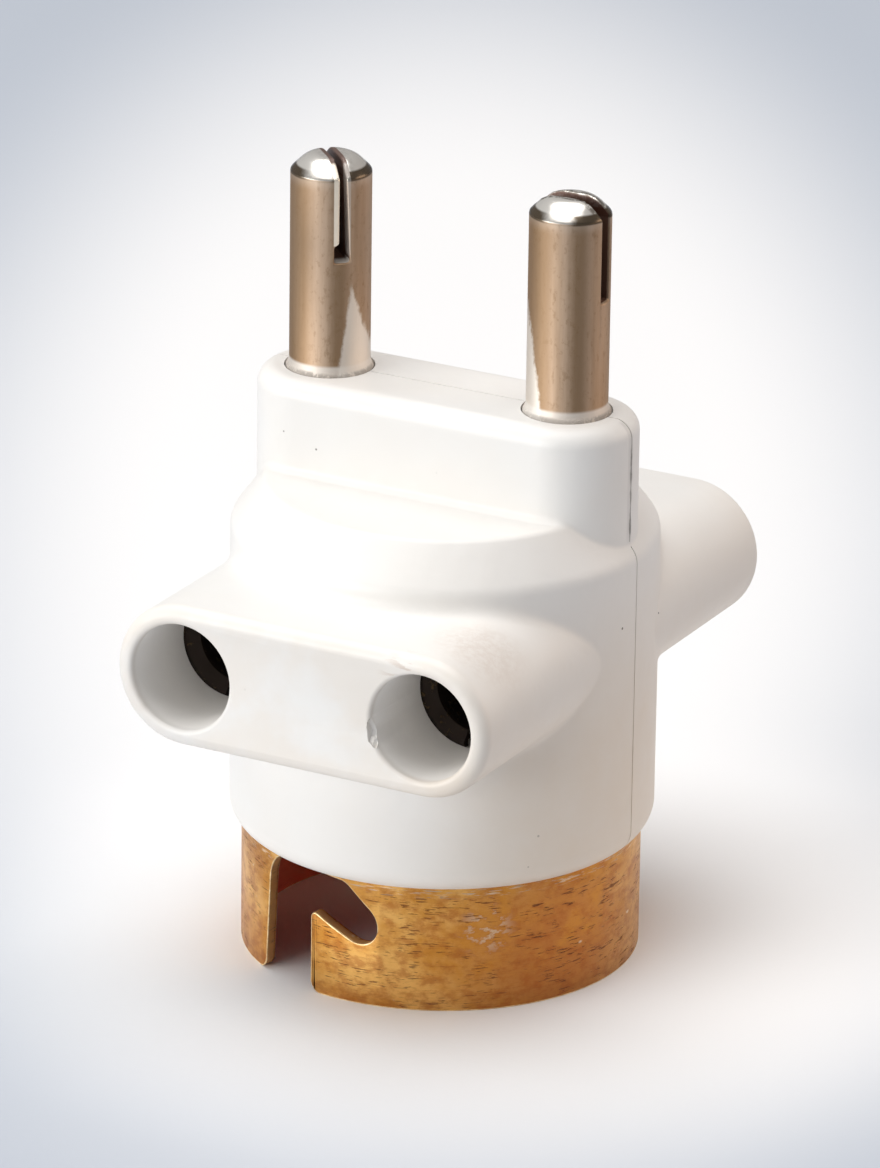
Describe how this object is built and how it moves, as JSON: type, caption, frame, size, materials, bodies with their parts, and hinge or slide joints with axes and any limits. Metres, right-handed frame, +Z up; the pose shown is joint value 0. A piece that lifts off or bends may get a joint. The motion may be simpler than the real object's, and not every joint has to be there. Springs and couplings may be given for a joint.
{
  "type": "lamp holder plug adapter",
  "caption": "White moulded adapter with a split-pin plug on top, a two-pin socket front and back, and a brass bayonet lamp holder with sprung contacts below.",
  "frame": {"origin": "centre of the brass skirt's lower rim, on the surface it stands on", "axes": "+Z up along the skirt and the plug pins, X along the line of the two pins, front socket faces -Y"},
  "size_m": [0.0268, 0.0372, 0.0505],
  "materials": {
    "white_moulding": "satin moulded",
    "nickel_plate": "worn nickel plate",
    "skirt_brass": "aged, scratched",
    "contact_brass": "dull, tarnished",
    "dark_insulation": "dark moulded",
    "spring_steel": "plain wire",
    "screw_steel": "plated"
  },
  "bodies": {
    "housing": {"body_front_half": "white_moulding", "body_rear_half": "white_moulding", "plug_pin_left": "nickel_plate", "plug_pin_right": "nickel_plate", "lampholder_skirt": "skirt_brass", "insulator_disc": "dark_insulation", "plunger_barrel_left": "contact_brass", "plunger_barrel_right": "contact_brass", "contact_bracket_left": "contact_brass", "contact_bracket_right": "contact_brass", "socket_sleeve_front_left": "contact_brass", "socket_sleeve_front_right": "contact_brass", "socket_sleeve_rear_left": "contact_brass", "socket_sleeve_rear_right": "contact_brass", "body_screw": "screw_steel", "threaded_insert": "contact_brass"},
    "left_contact": {"plunger_left": "contact_brass", "plunger_spring_left": "spring_steel"},
    "right_contact": {"plunger_right": "contact_brass", "plunger_spring_right": "spring_steel"}
  },
  "joints": [
    {"name": "left_plunger_slide", "type": "slide", "parent": "housing", "child": "left_contact", "axis": [0, 0, 1], "range_m": [0, 0.0037], "stiffness_N_per_m": 600, "springref_m": -0.004, "deforming": ["plunger_spring_left"]},
    {"name": "right_plunger_slide", "type": "slide", "parent": "housing", "child": "right_contact", "axis": [0, 0, 1], "range_m": [0, 0.0037], "stiffness_N_per_m": 600, "springref_m": -0.004, "deforming": ["plunger_spring_right"]}
  ]
}
